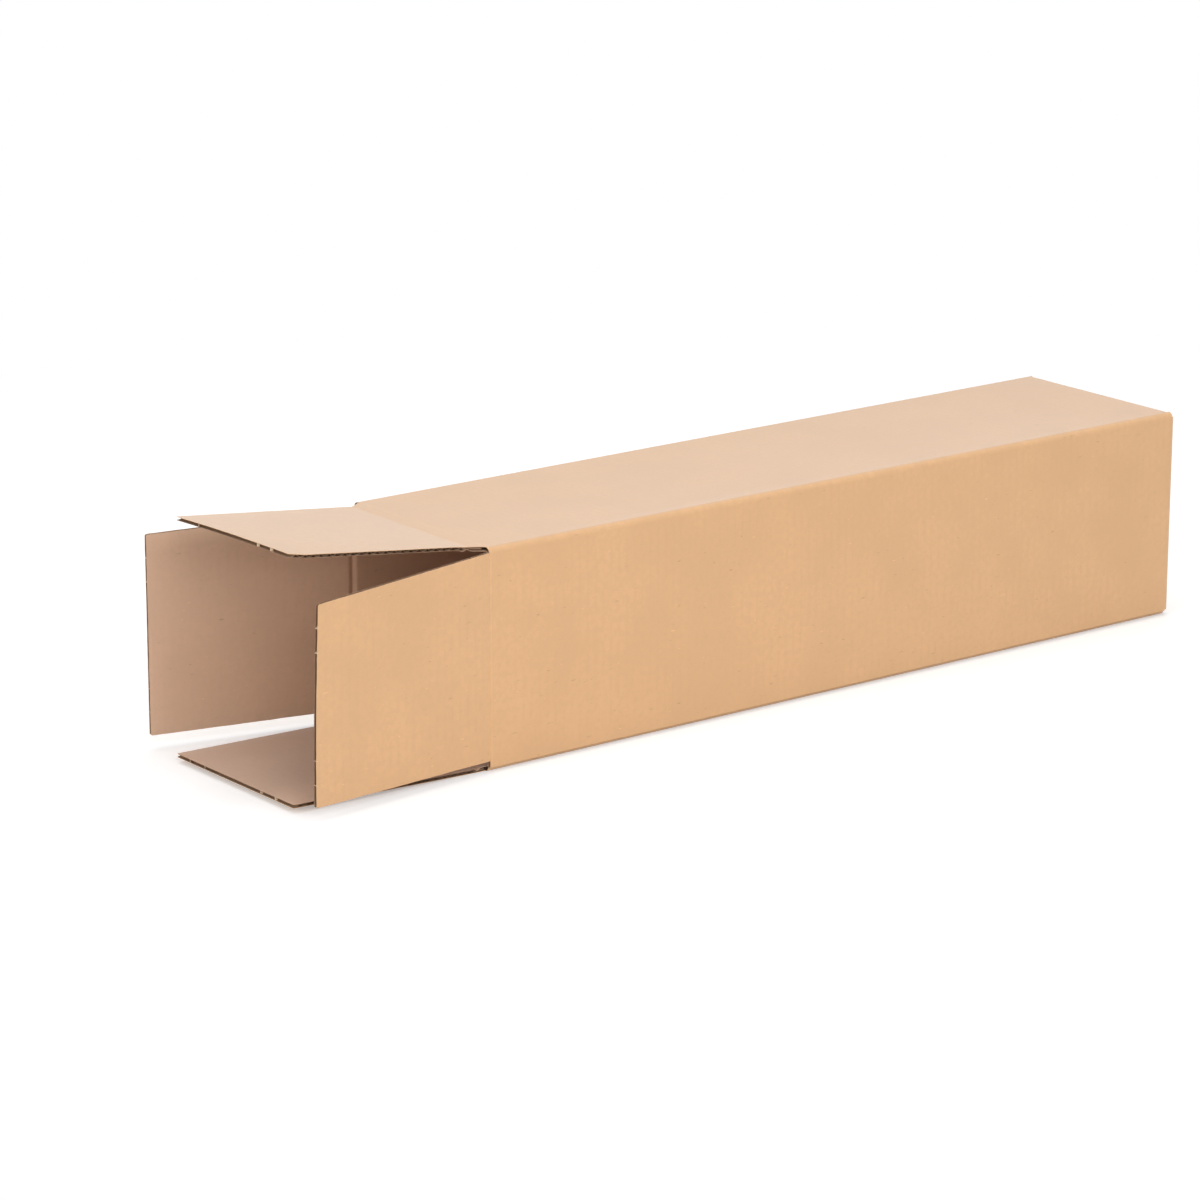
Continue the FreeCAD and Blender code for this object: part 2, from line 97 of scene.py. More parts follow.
class MailingTubeSizes(bpy.types.PropertyGroup):
    board: FloatProperty(
        name="Board", description="Thickness of the corrugated board", default=3 * MM, unit="LENGTH"
    )
    liner: FloatProperty(
        name="Liner", description="Thickness of each facing sheet", default=0.32 * MM, unit="LENGTH"
    )
    medium: FloatProperty(
        name="Medium", description="Thickness of the wavy sheet", default=0.26 * MM, unit="LENGTH"
    )
    flute_pitch: FloatProperty(
        name="Flute pitch", description="Distance from one flute to the next", default=6.5 * MM, unit="LENGTH"
    )
    fold_radius: FloatProperty(
        name="Fold radius", description="Outside radius of the folds along the tube",
        default=4 * MM, unit="LENGTH",
    )
    crease_half: FloatProperty(
        name="Crease half width", description="How far the crushed board reaches from a crease's axis",
        default=3.5 * MM, unit="LENGTH",
    )
    flap_reach: FloatProperty(
        name="Flap reach", description="From the ends of the slots to the flaps' free edges",
        default=148 * MM, unit="LENGTH",
    )
    front_trim: FloatProperty(
        name="Front trim", description="How much shorter the front flap is", default=4 * MM, unit="LENGTH"
    )
    corner_radius: FloatProperty(
        name="Corner radius", description="Radius of the flaps' corners", default=1.5 * MM, unit="LENGTH"
    )
    corner_run: FloatProperty(
        name="Corner run", description="Length of a corner cut along its flap", default=11 * MM, unit="LENGTH"
    )
    corner_cut: FloatProperty(
        name="Corner cut", description="Width of a corner cut across its flap", default=4 * MM, unit="LENGTH"
    )
    slot_start: FloatProperty(
        name="Slot start", description="Width of a top slot where it ends", default=5 * MM, unit="LENGTH"
    )
    top_slot: FloatProperty(
        name="Top slot", description="Inset of the top flap's sides at its crease",
        default=11 * MM, unit="LENGTH",
    )
    top_taper: FloatProperty(
        name="Top taper", description="How much the top flap's sides lean in", default=3.5 * MM, unit="LENGTH"
    )
    bottom_slot: FloatProperty(
        name="Bottom slot", description="Inset of the bottom flap's sides at its crease",
        default=6 * MM, unit="LENGTH",
    )
    bottom_taper: FloatProperty(
        name="Bottom taper", description="How much the bottom flap's sides lean in",
        default=2 * MM, unit="LENGTH",
    )
    side_slot_upper: FloatProperty(
        name="Upper side slot", description="Inset of a side flap's upper edge at its crease",
        default=4 * MM, unit="LENGTH",
    )
    side_slot_lower: FloatProperty(
        name="Lower side slot", description="Inset of a side flap's lower edge at its crease",
        default=8 * MM, unit="LENGTH",
    )
    front_taper: FloatProperty(
        name="Front taper", description="How much the front flap's upper side leans in",
        default=6 * MM, unit="LENGTH",
    )
    side_taper: FloatProperty(
        name="Side taper", description="How much the other sides of the front and back flaps lean in",
        default=1 * MM, unit="LENGTH",
    )
    seam_height: FloatProperty(
        name="Seam height", description="Height of the front wall's raw lower edge",
        default=3.4 * MM, unit="LENGTH",
    )
    seam_setback: FloatProperty(
        name="Seam setback", description="How far the bottom fold lies behind the front wall",
        default=2.4 * MM, unit="LENGTH",
    )
    tab_height: FloatProperty(
        name="Tab height", description="Height of the glue tab above the bottom panel",
        default=30 * MM, unit="LENGTH",
    )
    tab_gap: FloatProperty(
        name="Tab gap", description="From the ends of the slots to the glue tab",
        default=8 * MM, unit="LENGTH",
    )
    tab_bevel: FloatProperty(
        name="Tab bevel", description="How far the glue tab's end leans back", default=15 * MM, unit="LENGTH"
    )
    end_slot: FloatProperty(
        name="End slot", description="Inset of an end flap's sides at its fold", default=4 * MM, unit="LENGTH"
    )
    end_gap: FloatProperty(
        name="End gap", description="From an end flap's free edge to the outside of the tube",
        default=6 * MM, unit="LENGTH",
    )
    end_taper: FloatProperty(
        name="End taper", description="How much each side of an end flap leans in",
        default=4 * MM, unit="LENGTH",
    )


class MailingTubeColours(bpy.types.PropertyGroup):
    outside: FloatVectorProperty(
        name="Outside liner", description="Colour of the board's outer face", subtype="COLOR",
        default=(0.680, 0.402, 0.200), min=0, max=1,
    )
    # The inside liner's own brown, made lighter and bluer as painted bounce light from a white roll that is
    # not modelled inside the tube.
    inside: FloatVectorProperty(
        name="Inside liner", description="Colour of the board's inner face", subtype="COLOR",
        default=(0.615, 0.400, 0.270), min=0, max=1,
    )
    # The wavy sheet's brown, darkened past its own tone as painted shade for the board's raw edges and the
    # gaps between its liners.
    medium: FloatVectorProperty(
        name="Medium", description="Colour of the wavy sheet", subtype="COLOR",
        default=(0.330, 0.200, 0.120), min=0, max=1,
    )
    fibre: FloatVectorProperty(
        name="Torn fibre", description="Colour of torn paper at the cut edges", subtype="COLOR",
        default=(0.660, 0.470, 0.310), min=0, max=1,
    )
    floor: FloatVectorProperty(
        name="Floor", description="Colour of the studio floor", subtype="COLOR",
        default=(0.86, 0.86, 0.86), min=0, max=1,
    )


# Materials

class NodeTree:
    """Short calls for a material's shader nodes."""

    def __init__(self, material):
        material.use_nodes = True
        self.tree = material.node_tree
        self.tree.nodes.clear()

    def node(self, kind, inputs=None, **settings):
        node = self.tree.nodes.new(kind)
        for name, value in settings.items():
            setattr(node, name, value)
        for name, value in (inputs or {}).items():
            self.feed(node.inputs[name], value)
        return node

    def feed(self, socket, value):
        """Links another node's output to a socket, or sets a plain value on it."""
        if isinstance(value, bpy.types.NodeSocket):
            self.tree.links.new(value, socket)
        else:
            socket.default_value = value

    def blend(self, factor, first, second):
        """Mixes two colours."""
        node = self.node("ShaderNodeMix", data_type="RGBA")
        for index, value in ((0, factor), (6, first), (7, second)):
            self.feed(node.inputs[index], value)
        return node.outputs[2]

    def math(self, operation, *values):
        node = self.node("ShaderNodeMath", operation=operation)
        for socket, value in zip(node.inputs, values):
            self.feed(socket, value)
        return node.outputs[0]

    def ramp(self, value, low, high):
        """Turns a value into 0 at low and 1 at high, with a soft step between them."""
        node = self.node(
            "ShaderNodeMapRange", {"Value": value, "From Min": low, "From Max": high},
            interpolation_type="SMOOTHSTEP",
        )
        return node.outputs["Result"]


def shade(colour, factor):
    return (*(channel * factor for channel in colour[:3]), 1)


def paper_material(name, colour, fleck_strength, flute_shade_strength, roughness, sheen):
    """Unbleached paper: a mottled base with fibres along the tube, flecks, and faint flute lines, which are
    both a bump and painted shade in the colour.
    """
    material = bpy.data.materials.new(name)
    nodes = NodeTree(material)
    place = nodes.node("ShaderNodeTexCoord").outputs["Object"]
    along = nodes.node("ShaderNodeMapping", {"Vector": place, "Scale": (0.22, 1, 1)}).outputs["Vector"]

    def grain(scale, detail, vector=place, rough=0.6):
        node = nodes.node(
            "ShaderNodeTexNoise", {"Vector": vector, "Scale": scale, "Detail": detail, "Roughness": rough}
        )
        return node.outputs["Fac"]

    clouds = grain(22, 2)
    mottle = grain(240, 3)
    fibres = grain(2600, 3, along, 0.7)
    base = nodes.blend(nodes.ramp(clouds, 0.3, 0.7), shade(colour, 0.965), shade(colour, 1.03))
    base = nodes.blend(nodes.ramp(mottle, 0.35, 0.68), base, nodes.blend(0.5, base, shade(colour, 0.93)))
    base = nodes.blend(nodes.math("MULTIPLY", nodes.ramp(fibres, 0.5, 0.8), 0.35), base, shade(colour, 1.16))

    dark_flecks = nodes.ramp(grain(620, 2, along, 0.5), 0.715, 0.775)
    pale_flecks = nodes.ramp(grain(760, 2, along, 0.5), 0.73, 0.78)
    base = nodes.blend(nodes.math("MULTIPLY", dark_flecks, fleck_strength), base, shade(colour, 0.5))
    base = nodes.blend(nodes.math("MULTIPLY", pale_flecks, fleck_strength), base, shade(colour, 1.5))

    # The flutes run round the tube, so their lines cross its length.
    pitch = bpy.context.scene.mailing_tube_sizes.flute_pitch
    distance = nodes.node("ShaderNodeSeparateXYZ", {"Vector": place}).outputs["X"]
    phase = nodes.math("ADD", nodes.math("MULTIPLY", distance, 2 * math.pi / pitch), grain(30, 1))
    flutes = nodes.math("SINE", phase)
    patchy = nodes.ramp(grain(45, 2), 0.3, 0.7)
    flute_lines = nodes.math("MULTIPLY", flutes, patchy)
    # Darkening the colour along the flute lines is painted shade of the liner's washboard dips.
    painted_flute_shade = nodes.math("MULTIPLY", nodes.ramp(flute_lines, 0.0, 1.0), flute_shade_strength)
    base = nodes.blend(painted_flute_shade, base, shade(colour, 0.8))

    # Lighter where the vertex attribute is set: real wear at the cut edges and the slots' ends, and on the
    # rounded folds partly wear and partly painted highlight.
    lightening = nodes.node("ShaderNodeAttribute", attribute_name="wear").outputs["Fac"]
    rubbed_and_highlit = nodes.math("MULTIPLY", lightening, nodes.ramp(grain(150, 4), 0.35, 0.75))
    base = nodes.blend(nodes.math("MULTIPLY", rubbed_and_highlit, 0.5), base, shade(colour, 1.3))

    height = nodes.math("ADD", nodes.math("MULTIPLY", fibres, 0.04), nodes.math("MULTIPLY", mottle, 0.03))
    height = nodes.math("ADD", height, nodes.math("MULTIPLY", flute_lines, 0.012))
    bump = nodes.node("ShaderNodeBump", {"Strength": 0.6, "Distance": 0.9 * MM, "Height": height})
    shader = nodes.node(
        "ShaderNodeBsdfPrincipled",
        {
            "Base Color": base, "Roughness": roughness, "IOR": 1.5, "Normal": bump.outputs["Normal"],
            "Sheen Weight": sheen, "Sheen Roughness": 0.4,
        },
    )
    nodes.node("ShaderNodeOutputMaterial", {"Surface": shader.outputs["BSDF"]})
    return material


def board_materials():
    """Outside liner, inside liner, medium and torn fibre, made once and shared by every piece."""
    colours = bpy.context.scene.mailing_tube_colours
    # Each recipe: colour, fleck strength, strength of the painted flute shade, roughness and sheen.
    recipes = {
        "kraft_outside": (colours.outside, 0.45, 0.10, 0.62, 0.78),
        "kraft_inside": (colours.inside, 0.4, 0.08, 0.7, 0.5),
        "fluted_medium": (colours.medium, 0.3, 0.0, 0.8, 0.0),
        "torn_fibre": (colours.fibre, 0.2, 0.0, 0.85, 0.0),
    }
    return [bpy.data.materials.get(name) or paper_material(name, *recipe) for name, recipe in recipes.items()]


OUTSIDE, INSIDE, MEDIUM, FIBRE = range(4)


# Mesh code shared by every sheet of board

class Shells:
    """Collects closed shells of quads and makes one mesh object of them."""

    def __init__(self):
        self.mesh = bmesh.new()
        # A per-vertex amount of lightening: wear at cut edges, and on the folds partly wear and partly
        # painted highlight.
        self.wear = self.mesh.verts.layers.float.new("wear")

    def slab(self, rows, columns, place, depths, materials, keep=None, wear=None):
        """Thickens the kept cells of a grid of rows by columns into one closed shell.

        place(row, column, depth) gives a point; depths holds the depth of the outer and of the inner
        skin, each a number or a function of row and column; materials are the outer skin's, the
        inner skin's and the raw edge's."""
        corners = [{}, {}]

        def corner(skin, row, column):
            if (row, column) not in corners[skin]:
                depth = depths[skin]
                if callable(depth):
                    depth = depth(rows[row], columns[column])
                vertex = self.mesh.verts.new(place(rows[row], columns[column], depth))
                vertex[self.wear] = wear(rows[row], columns[column]) if wear else 0.0
                corners[skin][row, column] = vertex
            return corners[skin][row, column]

        kept = {
            (row, column)
            for row in range(len(rows) - 1)
            for column in range(len(columns) - 1)
            if keep is None or keep(row, column)
        }
        faces = []
        for row, column in kept:
            around = [(row, column), (row + 1, column), (row + 1, column + 1), (row, column + 1)]
            for skin in (0, 1):
                ring = [corner(skin, *at) for at in (around if skin == 0 else reversed(around))]
                faces.append(self.face(ring, materials[skin]))
            beside = ((row, column - 1), (row + 1, column), (row, column + 1), (row - 1, column))
            for index, neighbour in enumerate(beside):
                if neighbour in kept:
                    continue
                start, end = around[index], around[(index + 1) % 4]
                ring = [corner(0, *end), corner(0, *start), corner(1, *start), corner(1, *end)]
                faces.append(self.face(ring, materials[2]))
        bmesh.ops.recalc_face_normals(self.mesh, faces=faces)

    def face(self, ring, material):
        face = self.mesh.faces.new(ring)
        face.material_index = material
        face.smooth = True
        return face

    def finish(self, name, sharp_degrees=35):
        mesh = bpy.data.meshes.new(name)
        self.mesh.to_mesh(mesh)
        self.mesh.free()
        for material in board_materials():
            mesh.materials.append(material)
        mesh.set_sharp_from_angle(angle=math.radians(sharp_degrees))
        piece = bpy.data.objects.new(name, mesh)
        bpy.context.scene.collection.objects.link(piece)
        return piece


def smooth_step(value):
    value = min(max(value, 0.0), 1.0)
    return value * value * (3 - 2 * value)


def spread(low, high, count):
    """Evenly spaced numbers from low to high, both ends included."""
    return [low + (high - low) * index / (count - 1) for index in range(count)]


def wobble(where, scale, size):
    """Smooth random number for a place: up to size either way, changing over a length of scale."""
    return size * noise.noise(Vector(where) / scale)


def at_sides(t):
    """1 at both sides of a flap and nearly 0 between them, so that only the cut is ragged."""
    return abs(2 * t - 1) ** 24


def wave_depth(distance, sizes):
    """Depth of the medium's middle under the board's outer face."""
    swing = (sizes.board - 2 * sizes.liner - sizes.medium) / 2
    return sizes.board / 2 + swing * math.cos(2 * math.pi * distance / sizes.flute_pitch)


def medium_depths(sizes):
    """Depths of the wavy medium's two faces, for a grid whose rows run across the flutes."""
    half = sizes.medium / 2
    return (
        lambda row, column: wave_depth(row, sizes) - half,
        lambda row, column: wave_depth(row, sizes) + half,
    )


def add_liners(shells, sizes, rows, columns, place, keep=None, wear=None, inner_cut=INSIDE):
    """The board's two facing sheets over a grid; inner_cut is the inner one's material at its cut."""
    outer, inner = (0.0, sizes.liner), (sizes.board - sizes.liner, sizes.board)
    shells.slab(rows, columns, place, outer, (OUTSIDE, MEDIUM, OUTSIDE), keep, wear)
    shells.slab(rows, columns, place, inner, (MEDIUM, INSIDE, inner_cut), keep, wear)


# The walls and the flaps that continue them past the mouth

class Wall:
    """One wall's frame at the mouth: s runs past the crease, v runs across, depth goes inwards.

    insets holds, for the low and the high side, pairs of s and the inset from the tube's outside.
    trim shortens the flap, and skew shortens its free edge at the low side only."""

    def __init__(self, side, across, outward, span, insets, trim=0.0, skew=0.0):
        sizes = bpy.context.scene.mailing_tube_sizes
        joint = JOINTS[f"{side}_flap_fold"]
        self.side = side
        self.sizes = sizes
        self.across = Vector(across)
        self.outward = Vector(outward)
        crease = Vector(joint["pos_m"])
        self.crease = crease - self.across * crease.dot(self.across)
        self.open = math.radians(joint["range_deg"][1] - CLOSED_DEGREES)
        self.lip = MOUTH_X - self.crease.x
        self.reach = sizes.flap_reach - trim - self.lip
        self.skew = skew
        self.span = span
        self.insets = insets
        self.low, self.high = self.across_at(-self.lip, 0), self.across_at(-self.lip, 1)

    def point(self, s, v, depth, turn):
        """A point of the board, swung about the crease's axis by turn."""
        along = Vector((-1, 0, 0))
        way = along * math.cos(turn) + self.outward * math.sin(turn)
        normal = self.outward * math.cos(turn) - along * math.sin(turn)
        return self.crease + way * s - normal * depth + self.across * v

    def inset(self, s, end):
        """How far a side edge has come in at s, with its corner rounded off."""
        knots = self.insets[end]
        value = knots[0][1]
        for (start, first), (stop, last) in zip(knots, knots[1:]):
            if s > start:
                value = first + (last - first) * min((s - start) / (stop - start), 1.0)
        radius = self.sizes.corner_radius
        past = min(max(s - (self.reach - radius), 0.0), radius * 0.999)
        return value + radius - math.sqrt(radius ** 2 - past ** 2)

    def across_at(self, s, t):
        """Place across the flap at the share t of its width."""
        low, high = self.span[0] + self.inset(s, 0), self.span[1] - self.inset(s, 1)
        return low + (high - low) * t

    def turn_at(self, s):
        half = self.sizes.crease_half
        return self.open * smooth_step((s + half) / (2 * half))


def walls():
    """The four walls, with the outlines of their flaps."""
    sizes = bpy.context.scene.mailing_tube_sizes
    reach = sizes.flap_reach
    across, upright = (-HALF_WIDTH, HALF_WIDTH), (0.0, HEIGHT)
    front_reach = reach - sizes.front_trim

    # The top flap's slots widen over the wall's lip. Its near side starts with a short flare and has
    # a cut corner, and both sides stand a little off the drawn taper.
    lip = MOUTH_X - JOINTS["top_flap_fold"]["pos_m"][0]
    slot_start, slot_end, flare_end = -lip, -1 * MM, 8 * MM
    flare, near_extra, far_less = 1.8 * MM, 1 * MM, 0.5 * MM
    top_end = sizes.top_slot + sizes.top_taper
    cut_start = reach - lip - sizes.corner_run
    cut = sizes.corner_cut * (reach - cut_start) / sizes.corner_run
    near_side = (
        (slot_start, sizes.slot_start), (slot_end, sizes.top_slot), (flare_end, sizes.top_slot + flare),
        (cut_start, top_end + near_extra), (reach, top_end + near_extra + cut),
    )
    far_side = (
        (slot_start, sizes.slot_start), (slot_end, sizes.top_slot - far_less), (reach, top_end - far_less),
    )
    bottom_side = ((0.0, sizes.bottom_slot), (reach, sizes.bottom_slot + sizes.bottom_taper))
    lower_side = ((0.0, sizes.side_slot_lower), (reach, sizes.side_slot_lower + sizes.side_taper))
    front_less = 0.8 * MM
    front_upper = (
        (0.0, sizes.side_slot_upper - front_less), (front_reach, sizes.side_slot_upper + sizes.front_taper),
    )
    back_upper = ((0.0, sizes.side_slot_upper), (reach, sizes.side_slot_upper + sizes.side_taper))
    return {
        "top": Wall("top", (0, 1, 0), (0, 0, 1), across, (near_side, far_side), trim=-0.6 * MM, skew=7 * MM),
        "bottom": Wall("bottom", (0, 1, 0), (0, 0, -1), across, (bottom_side, bottom_side)),
        "front": Wall(
            "front", (0, 0, 1), (0, -1, 0), upright, (lower_side, front_upper),
            trim=sizes.front_trim + 1.8 * MM, skew=-3.6 * MM,
        ),
        "back": Wall("back", (0, 0, 1), (0, 1, 0), upright, (lower_side, back_upper)),
    }


# How far each flap's middle stands out at its free edge, and how uneven its board is. The closed
# flaps lie on each other, so only the outermost may bulge outwards and the innermost inwards.
FLAP_BEND = {
    "top": (0.7 * MM, 0.08 * MM),
    "bottom": (0.05 * MM, 0.04 * MM),
    "front": (-0.7 * MM, 0.08 * MM),
    "back": (0.0, 0.04 * MM),
}

# Where the die left the blank joined along each free edge, as shares of the edge
DIE_NICKS = {
    "top": (0.148, 0.266, 0.803),
    "bottom": (0.146, 0.27, 0.76, 0.89),
    "front": (0.104, 0.227, 0.767, 0.889),
    "back": (0.11, 0.23, 0.77, 0.89),
}


def flap_lift(wall, s, t):
    """How far a flap's board stands out from its flat plane."""
    cup, uneven = FLAP_BEND[wall.side]
    share = max(s - wall.sizes.crease_half, 0.0) / wall.reach
    lift = cup * share * (1 - (2 * t - 1) ** 2)
    return lift + wobble((s, t * wall.reach, wall.open), 40 * MM, uneven) * min(4 * share, 1)


def flap_rows(wall):
    sizes = wall.sizes
    fine = [wall.reach - step * MM for step in (11, 6, 3, 2.1, 1.4, 0.8, 0.35, 0.1)]
    return spread(sizes.crease_half, wall.reach - 16 * MM, 21) + fine + [wall.reach]


def build_flap(wall):
    """One open flap: two liners with the flutes between them, ragged at the cut."""
    sizes = wall.sizes
    shells = Shells()

    ragged = 0.2 * MM
    crush_share, crush_reach = 0.2, 4 * MM

    def place(s, t, depth):
        v = wall.across_at(s, t)
        v += wobble((s, v, depth), 2.3 * MM, ragged) * at_sides(t)
        if s > wall.reach - 0.05 * MM:
            s += wobble((v, depth, wall.open), 3.1 * MM, ragged) - ragged / 2
        shifted = s - wall.skew * (1 - t) * (s / wall.reach) ** 3

        # The knife crushes the board a little along its cuts.
        from_cut = min(wall.reach - s, (wall.high - wall.low) * min(t, 1 - t))
        depth *= 1 - crush_share * math.exp(-max(from_cut, 0.0) / crush_reach)
        return wall.point(shifted, v, depth - flap_lift(wall, s, t), wall.open)

    columns = [0, 0.004] + spread(0.03, 0.97, 29) + [0.996, 1]
    wave_end = wall.reach - 2.2 * MM
    steps_per_flute = 12
    steps = int((wave_end - sizes.crease_half) / sizes.flute_pitch * steps_per_flute)
    wave_columns = [0.002] + spread(0.03, 0.97, 10) + [0.998]

    def lightening(s, t):
        return 1.0 if t in (0, 1) or s > wall.reach - 0.2 * MM else 0.0

    # The inner liner's cut edge gets the dark medium paper as painted shade on the flap's underside edge.
    add_liners(shells, sizes, flap_rows(wall), columns, place, wear=lightening, inner_cut=MEDIUM)
    wave_rows = spread(sizes.crease_half, wave_end, steps)
    shells.slab(wave_rows, wave_columns, place, medium_depths(sizes), (MEDIUM, MEDIUM, MEDIUM))
    for number, t in enumerate(DIE_NICKS[wall.side]):
        add_nick(shells, wall, place, t, number)
    piece = shells.finish(f"{wall.side}_flap_board")
    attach(piece, f"{wall.side}_flap")
    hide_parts(f"{wall.side}_flap")


def add_nick(shells, wall, place, t, number):
    """A crushed spot at the free edge, where the torn paper bridges the two liners."""
    width = 0.55 * MM / (wall.high - wall.low)
    stand = (0.12 + 0.1 * noise.noise(Vector((number * 3.7, wall.reach * 90, 1.3)))) * MM
    root, back = 0.06 * MM, 1.6 * MM

    def torn(share, side, depth):
        pinch = math.sin(math.pi * share)
        at = t + side * width * (0.55 - 0.2 * pinch)
        return place(wall.reach - root + stand * pinch - depth, at, share * wall.sizes.board)

    shells.slab(spread(0, 1, 7), spread(-1, 1, 4), torn, (0.0, back), (FIBRE, FIBRE, FIBRE))


# How deep each crease is pressed into the outer face, and how high the ridge beside it stands
CREASE_PRESS = {
    "top": (0.0, 0.0),
    "bottom": (0.10 * MM, 0.0),
    "front": (0.50 * MM, 0.22 * MM),
    "back": (0.30 * MM, 0.12 * MM),
}


def build_crease(wall):
    """The wall's last strip past the slots, and the crushed board that bends as the flap turns."""
    sizes = wall.sizes
    half = sizes.crease_half
    groove, ridge = CREASE_PRESS[wall.side]
    groove_width, ridge_width, ridge_shift = 0.6 * MM, 0.7 * MM, 1.6 * MM
    crushed = 1.6 * MM
    lip = wall.lip if wall.lip > sizes.liner else half

    def press(s):
        valley = groove * math.exp(-((s / groove_width) ** 2))
        bank = ridge * math.exp(-(((s + ridge_shift) / ridge_width) ** 2))
        return valley - bank

    def inner_face(s):
        share = min(abs(s) / half, 1.0)
        return crushed + (sizes.board - crushed) * smooth_step(share ** 0.8)

    def place(s, t, depth):
        at = wall.point(s, wall.across_at(s, t), depth, wall.turn_at(s))
        at.z = max(at.z, 0.0)
        return at

    shells = Shells()
    rows = spread(-half, half, 29)
    if lip > half:
        rows = spread(-lip, -half, 5)[:-1] + rows
    else:
        rows = [-lip] + [row for row in rows if row > -lip + 0.1 * MM]
    columns = [0, 0.004] + spread(0.03, 0.97, 39) + [0.996, 1]
    outer = (lambda s, t: press(s), lambda s, t: press(s) + sizes.liner)
    inner = (lambda s, t: inner_face(s) - sizes.liner, lambda s, t: inner_face(s))
    middle = (
        lambda s, t: press(s) + sizes.liner + 0.3 * (inner_face(s) - 2 * sizes.liner),
        lambda s, t: press(s) + sizes.liner + 0.6 * (inner_face(s) - 2 * sizes.liner),
    )

    def lightening(s, t):
        return 1.0 if t in (0, 1) else 0.3 * math.exp(-((s / (2 * MM)) ** 2))

    shells.slab(rows, columns, place, outer, (OUTSIDE, MEDIUM, OUTSIDE), wear=lightening)
    shells.slab(rows, columns, place, inner, (MEDIUM, INSIDE, INSIDE), wear=lightening)
    shells.slab(rows[1:-3], spread(0.004, 0.996, 11), place, middle, (MEDIUM, MEDIUM, MEDIUM))
    piece = shells.finish(f"{wall.side}_crease", sharp_degrees=60)
    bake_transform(piece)


# The tube's four walls, one strip folded round its inside

# How far the folds of the closed end's inner layers lie behind the outer end flap's face
BACK_FOLD_SETBACK = 2 * MM
MIDDLE_FOLD_SETBACK = 1.5 * MM

# How far each wall's middle stands out from flat
BELLY = {"front": 0.5 * MM, "top": -0.6 * MM, "back": 0.5 * MM, "bottom": -0.35 * MM}


def tab_face(sizes):
    """The glue tab's outer face, a hair behind the front wall's board."""
    glue_line = 0.05 * MM
    return -HALF_WIDTH + sizes.board + glue_line


class Girth:
    """The path of the board's outer face round the tube, from the seam's raw edge to the glue tab's."""

    def __init__(self, sizes):
        self.stations = []
        self.slots = {side: (wall.low, wall.high) for side, wall in walls().items()}
        radius = sizes.fold_radius
        self.flat(Vector((-HALF_WIDTH, sizes.seam_height)), Vector((-HALF_WIDTH, HEIGHT - radius)), "front")
        self.fold(Vector((-HALF_WIDTH + radius, HEIGHT - radius)), radius, 180, 90)
        self.flat(Vector((-HALF_WIDTH + radius, HEIGHT)), Vector((HALF_WIDTH - radius, HEIGHT)), "top")
        self.fold(Vector((HALF_WIDTH - radius, HEIGHT - radius)), radius, 90, 0)
        self.flat(Vector((HALF_WIDTH, HEIGHT - radius)), Vector((HALF_WIDTH, radius)), "back")
        self.fold(Vector((HALF_WIDTH - radius, radius)), radius, 0, -90)
        lap = sizes.board
        lap_y = -HALF_WIDTH + sizes.seam_setback + lap
        self.flat(Vector((HALF_WIDTH - radius, 0)), Vector((lap_y, 0)), "bottom")
        self.fold(Vector((lap_y, lap)), lap, -90, -180)
        tab_y = tab_face(sizes)
        self.flat(Vector((tab_y, lap + 1.6 * MM)), Vector((tab_y, sizes.board + sizes.tab_height)), "tab")

    def flat(self, start, end, name):
        """Stations along a flat panel, with one wherever a slot's side falls."""
        way = (end - start).normalized()
        length = (end - start).length
        coordinate = 1 if name in ("front", "back", "tab") else 0
        stops = {0.0, length}
        for at in self.slots.get(name, ()):
            stops.add(abs(at - start[coordinate]))
        stops = sorted(stops)
        marks = []
        for low, high in zip(stops, stops[1:]):
            count = max(2, round((high - low) / (9 * MM)) + 1)
            marks += spread(low, high, count)[:-1]
        marks.append(length)
        normal = Vector((way.y * -1, way.x))
        for index, mark in enumerate(marks):
            if index == 0 and self.stations and name != "tab":
                continue
            self.stations.append((start + way * mark, normal, 0.0, name))

    def fold(self, centre, radius, start, end):
        """Stations round a rounded fold, from one angle to another in degrees."""
        steps = 8
        for index in range(1, steps + 1):
            angle = math.radians(start + (end - start) * index / steps)
            normal = Vector((math.cos(angle), math.sin(angle)))
            bend = math.sin(math.pi * index / steps)
            self.stations.append((centre + normal * radius, normal, bend, "fold"))

    def cell_name(self, index):
        """The wall that the strip between two stations belongs to, or fold."""
        return self.stations[index + 1][3]


def wall_starts(sizes):
    """Where each wall begins at the mouth: at the slots' ends, and the front one where its crease begins."""
    starts = dict.fromkeys(("top", "bottom", "back"), MOUTH_X)
    starts["front"] = MOUTH_X + sizes.crease_half
    return starts


def wall_ends(sizes):
    """Where each wall turns into its end fold, and where the folds along the tube end."""
    radius = sizes.fold_radius
    return {
        "front": END_X - radius,
        "top": END_X - MIDDLE_FOLD_SETBACK - radius,
        "bottom": END_X - MIDDLE_FOLD_SETBACK - radius,
        "back": END_X - BACK_FOLD_SETBACK - radius,
        "fold": END_X - sizes.board,
        "tab": END_X - 3 * sizes.board,
    }


